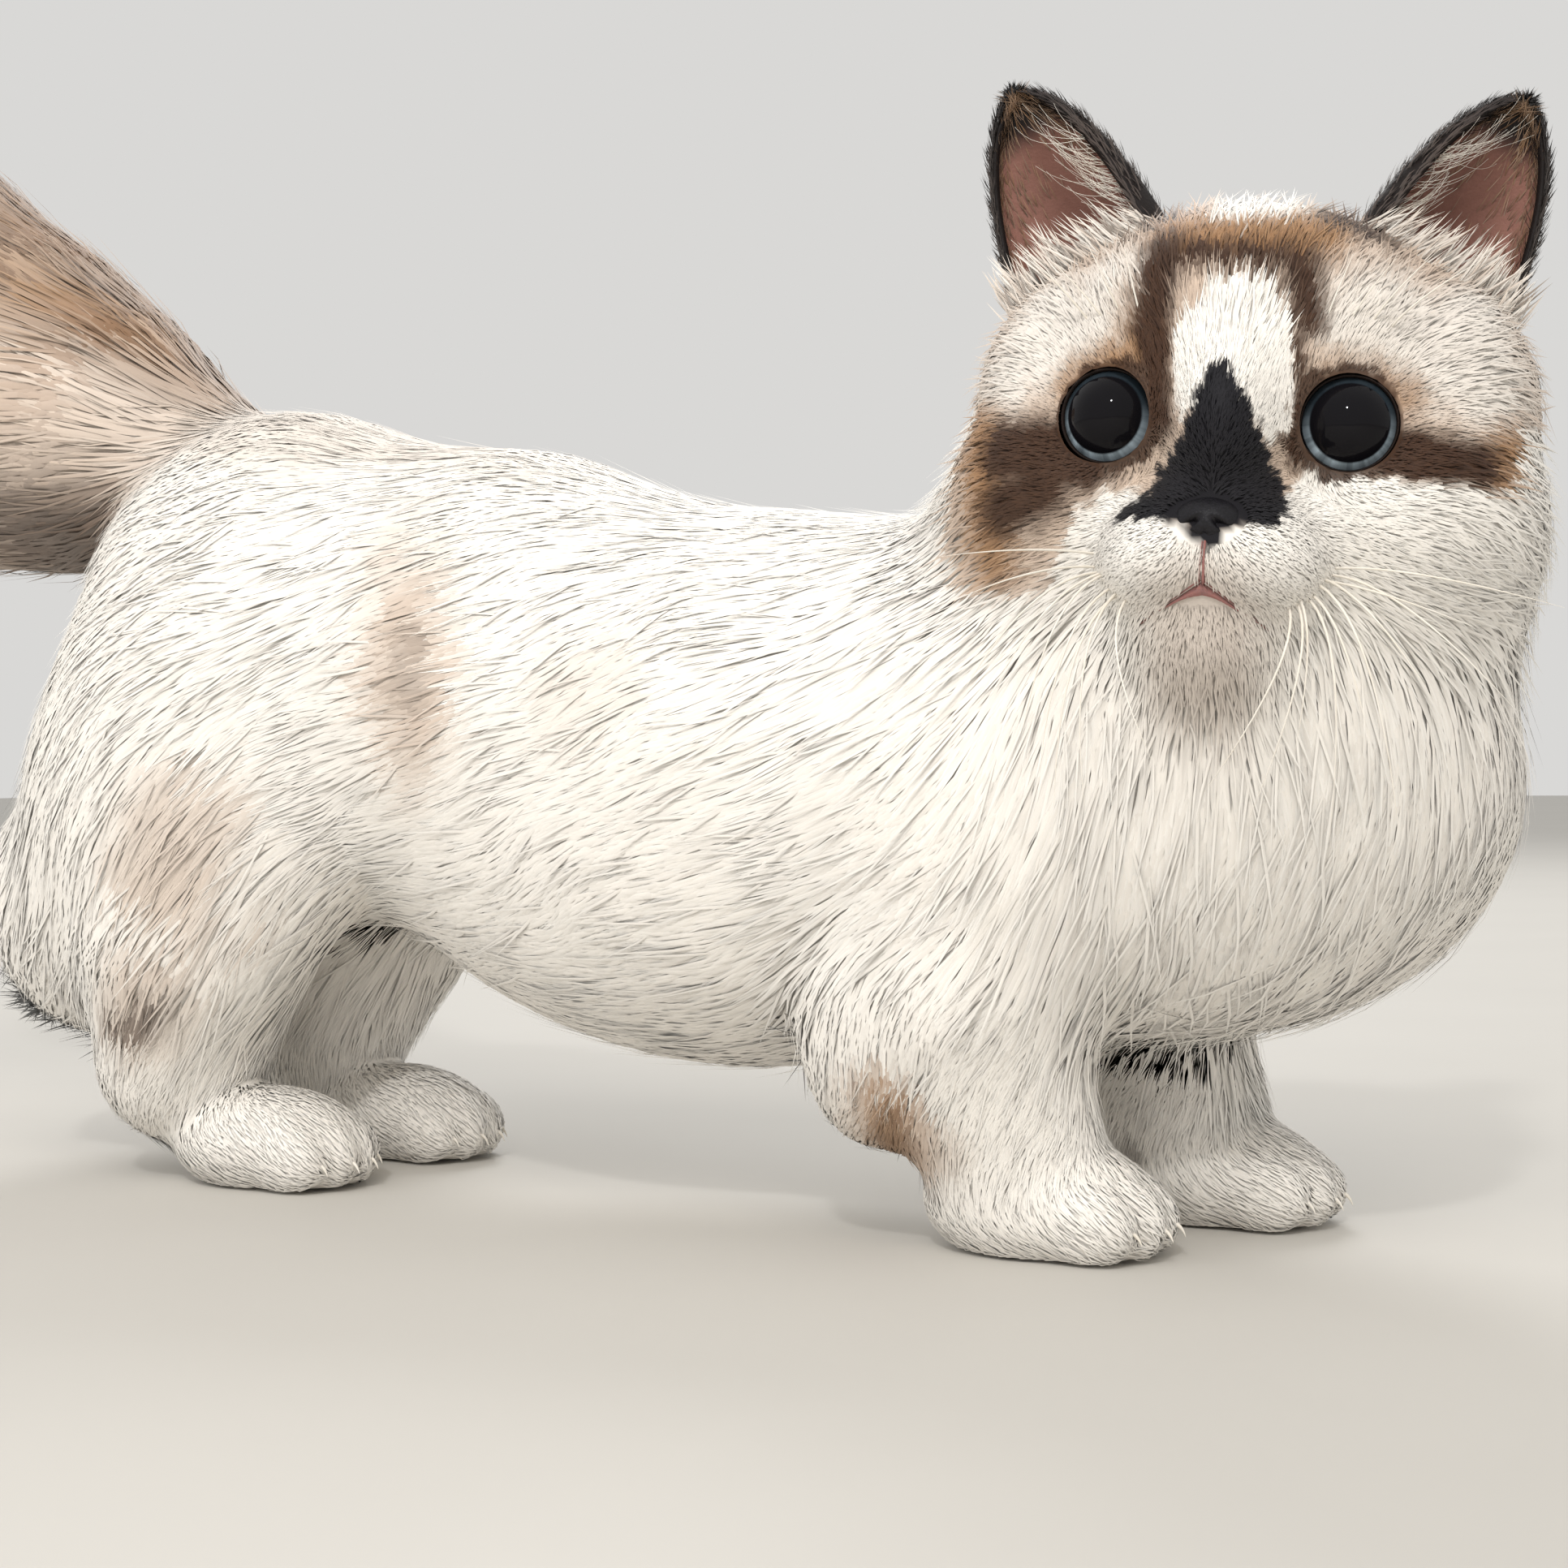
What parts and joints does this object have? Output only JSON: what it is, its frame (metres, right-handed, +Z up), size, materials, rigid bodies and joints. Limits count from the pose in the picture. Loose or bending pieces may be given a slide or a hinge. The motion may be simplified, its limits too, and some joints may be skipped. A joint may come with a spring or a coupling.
{
  "type": "munchkin cat",
  "caption": "Life-size still model of a long-coated short-legged cat, standing on four feet with its head turned to its right and its tail raised.",
  "frame": {"origin": "on the floor, under the middle of the whole cat's box", "axes": "+X towards the head end of the body, +Y to the cat's left, +Z up"},
  "size_m": [0.5258, 0.1512, 0.3007],
  "materials": {
    "coat_body": "long warm white fur with tan patches",
    "coat_face": "short fur, cream, brown, black and white",
    "coat_legs": "short dense white fur",
    "coat_tail": "long bushy tan and cream fur",
    "ear_skin": "thin brown-pink skin with dark furred rims",
    "nose_leather": "moist black",
    "eye": "wet gloss, wide black pupil in a thin blue-grey rim"
  },
  "bodies": {
    "root": {"head": "coat_face", "nose": "nose_leather", "ear_left": "ear_skin", "ear_right": "ear_skin", "eye_left": "eye", "eye_right": "eye", "neck": "coat_body", "torso": "coat_body", "foreleg_left": "coat_legs", "foreleg_right": "coat_legs", "forepaw_left": "coat_legs", "forepaw_right": "coat_legs", "hindleg_left": "coat_legs", "hindleg_right": "coat_legs", "hindpaw_left": "coat_legs", "hindpaw_right": "coat_legs", "tail_base": "coat_tail", "tail_middle": "coat_tail", "tail_tip": "coat_tail"}
  },
  "joints": []
}
